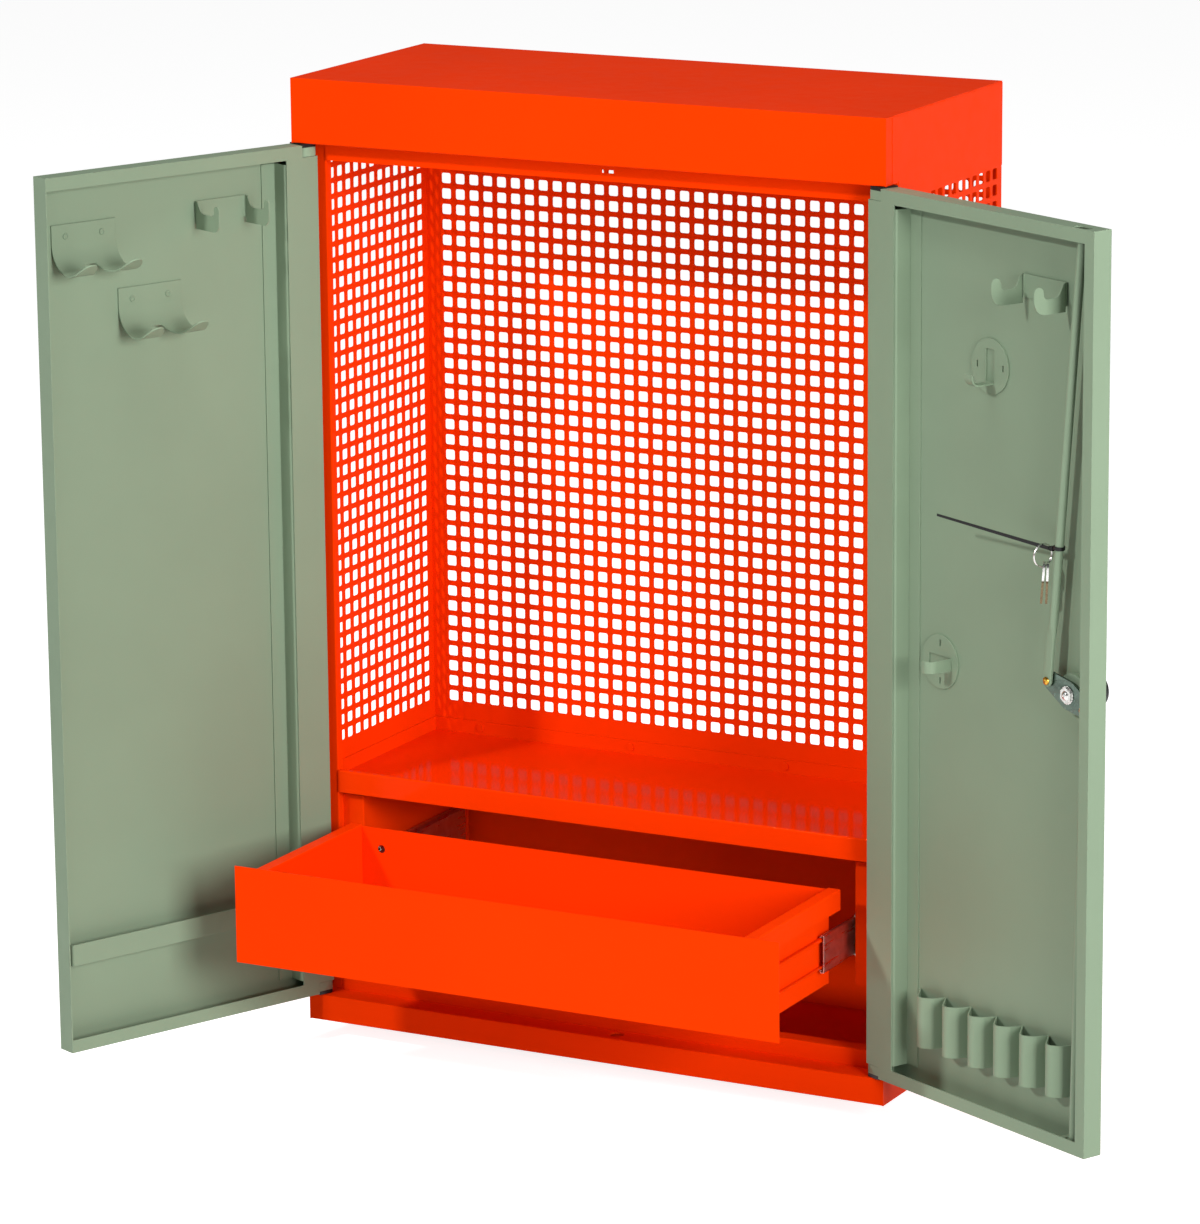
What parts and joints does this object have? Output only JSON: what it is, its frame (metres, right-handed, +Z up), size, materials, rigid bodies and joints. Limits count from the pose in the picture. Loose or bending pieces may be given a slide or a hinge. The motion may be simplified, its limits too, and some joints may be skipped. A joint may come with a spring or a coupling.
{
  "type": "tool cabinet with doors",
  "caption": "Wall cabinet of folded sheet steel with perforated walls, a shelf tray, a drawer on ball runners and two hook-fitted doors with a rod lock.",
  "frame": {"origin": "centre of the four wall fixing holes, on the rear face of the back panel", "axes": "+X to the right seen from the front, +Y towards the wall, +Z up"},
  "size_m": [0.9747, 0.5111, 0.9],
  "materials": {
    "orange_paint": "semi-gloss powder coat",
    "grey_green_paint": "semi-gloss powder coat",
    "zinc_steel": "zinc plated",
    "black_plastic": "moulded",
    "brass": "machined",
    "steel": "nickel plated"
  },
  "bodies": {
    "cabinet": {"top_hood": "orange_paint", "base_pan": "orange_paint", "back_panel": "orange_paint", "left_side_panel": "orange_paint", "right_side_panel": "orange_paint", "left_stile": "orange_paint", "right_stile": "orange_paint", "shelf_tray": "orange_paint", "shelf_screws": "zinc_steel", "hinge_pins": "zinc_steel", "left_runner_bracket": "orange_paint", "right_runner_bracket": "orange_paint", "left_runner_outer": "zinc_steel", "right_runner_outer": "zinc_steel"},
    "left_door": {"left_door_panel": "grey_green_paint", "left_door_stiffener": "grey_green_paint", "left_door_bushes": "black_plastic", "upper_wide_hook": "grey_green_paint", "lower_wide_hook": "grey_green_paint", "wide_hook_rivets": "grey_green_paint", "left_twin_hook": "grey_green_paint", "retaining_bar": "grey_green_paint"},
    "right_door": {"right_door_panel": "grey_green_paint", "right_door_stiffener": "grey_green_paint", "right_door_bushes": "black_plastic", "right_twin_hook": "grey_green_paint", "slot_hook": "grey_green_paint", "strap_hook": "grey_green_paint", "screwdriver_strip": "grey_green_paint", "rod_guide": "grey_green_paint"},
    "lock": {"lock_knob": "black_plastic", "lock_spindle": "zinc_steel", "cam_plate": "zinc_steel", "lock_screw": "zinc_steel", "rod_rivets": "brass"},
    "key_cylinder": {"lock_cylinder": "steel"},
    "upper_rod": {"upper_rod": "zinc_steel", "cable_tie": "black_plastic"},
    "lower_rod": {"lower_rod": "zinc_steel"},
    "keys": {"key_ring": "steel", "front_key": "steel", "rear_key": "steel"},
    "drawer": {"drawer_box": "orange_paint", "drawer_front": "orange_paint", "left_runner_inner": "zinc_steel", "right_runner_inner": "zinc_steel"},
    "left_runner_middle": {"left_runner_middle": "zinc_steel"},
    "left_outer_cages": {"left_outer_ball_cages": "zinc_steel"},
    "left_inner_cages": {"left_inner_ball_cages": "zinc_steel"},
    "right_runner_middle": {"right_runner_middle": "zinc_steel"},
    "right_outer_cages": {"right_outer_ball_cages": "zinc_steel"},
    "right_inner_cages": {"right_inner_ball_cages": "zinc_steel"}
  },
  "joints": [
    {"name": "left_door_hinge", "type": "hinge", "parent": "cabinet", "child": "left_door", "pos_m": [-0.292, -0.24, 0], "axis": [0, 0, -1], "range_deg": [-23.5, 66.5]},
    {"name": "right_door_hinge", "type": "hinge", "parent": "cabinet", "child": "right_door", "pos_m": [0.292, -0.24, 0], "axis": [0, 0, 1], "range_deg": [-64, 26]},
    {"name": "lock_turn", "type": "hinge", "parent": "right_door", "child": "lock", "pos_m": [0.52648, -0.34324, -0.0275], "axis": [0.4384, 0.8988, 0], "range_deg": [0, 90]},
    {"name": "key_turn", "type": "hinge", "parent": "lock", "child": "key_cylinder", "pos_m": [0.53919, -0.31717, -0.0275], "axis": [0.4384, 0.8988, 0], "range_deg": [0, 90]},
    {"name": "upper_rod_pivot", "type": "hinge", "parent": "lock", "child": "upper_rod", "pos_m": [0.49922, -0.34552, -0.01895], "axis": [0.4384, 0.8988, 0], "range_deg": [-95.5, 0]},
    {"name": "lower_rod_pivot", "type": "hinge", "parent": "lock", "child": "lower_rod", "pos_m": [0.54145, -0.36612, -0.03605], "axis": [0.4384, 0.8988, 0], "range_deg": [-95.5, 0]},
    {"name": "drawer_slide", "type": "slide", "parent": "cabinet", "child": "drawer", "axis": [0, -1, 0], "range_m": [-0.19, 0.01]},
    {"name": "left_runner_middle_slide", "type": "slide", "parent": "cabinet", "child": "left_runner_middle", "axis": [0, -1, 0], "range_m": [-0.095, 0.005]},
    {"name": "left_outer_cages_slide", "type": "slide", "parent": "cabinet", "child": "left_outer_cages", "axis": [0, -1, 0], "range_m": [-0.0475, 0.0025]},
    {"name": "left_inner_cages_slide", "type": "slide", "parent": "cabinet", "child": "left_inner_cages", "axis": [0, -1, 0], "range_m": [-0.1425, 0.0075]},
    {"name": "right_runner_middle_slide", "type": "slide", "parent": "cabinet", "child": "right_runner_middle", "axis": [0, -1, 0], "range_m": [-0.095, 0.005]},
    {"name": "right_outer_cages_slide", "type": "slide", "parent": "cabinet", "child": "right_outer_cages", "axis": [0, -1, 0], "range_m": [-0.0475, 0.0025]},
    {"name": "right_inner_cages_slide", "type": "slide", "parent": "cabinet", "child": "right_inner_cages", "axis": [0, -1, 0], "range_m": [-0.1425, 0.0075]},
    {"name": "key_ring_swing", "type": "hinge", "parent": "upper_rod", "child": "keys", "pos_m": [0.48602, -0.34625, 0.09936], "axis": [-0.9647, 0.2447, 0.0974], "range_deg": [-12, 20]}
  ],
  "couplings": [
    {"joint": "upper_rod_pivot", "follows": "lock_turn", "ratio": -1.0511},
    {"joint": "lower_rod_pivot", "follows": "lock_turn", "ratio": -1.0528},
    {"joint": "left_runner_middle_slide", "follows": "drawer_slide", "ratio": 0.5},
    {"joint": "left_outer_cages_slide", "follows": "drawer_slide", "ratio": 0.25},
    {"joint": "left_inner_cages_slide", "follows": "drawer_slide", "ratio": 0.75},
    {"joint": "right_runner_middle_slide", "follows": "drawer_slide", "ratio": 0.5},
    {"joint": "right_outer_cages_slide", "follows": "drawer_slide", "ratio": 0.25},
    {"joint": "right_inner_cages_slide", "follows": "drawer_slide", "ratio": 0.75}
  ]
}
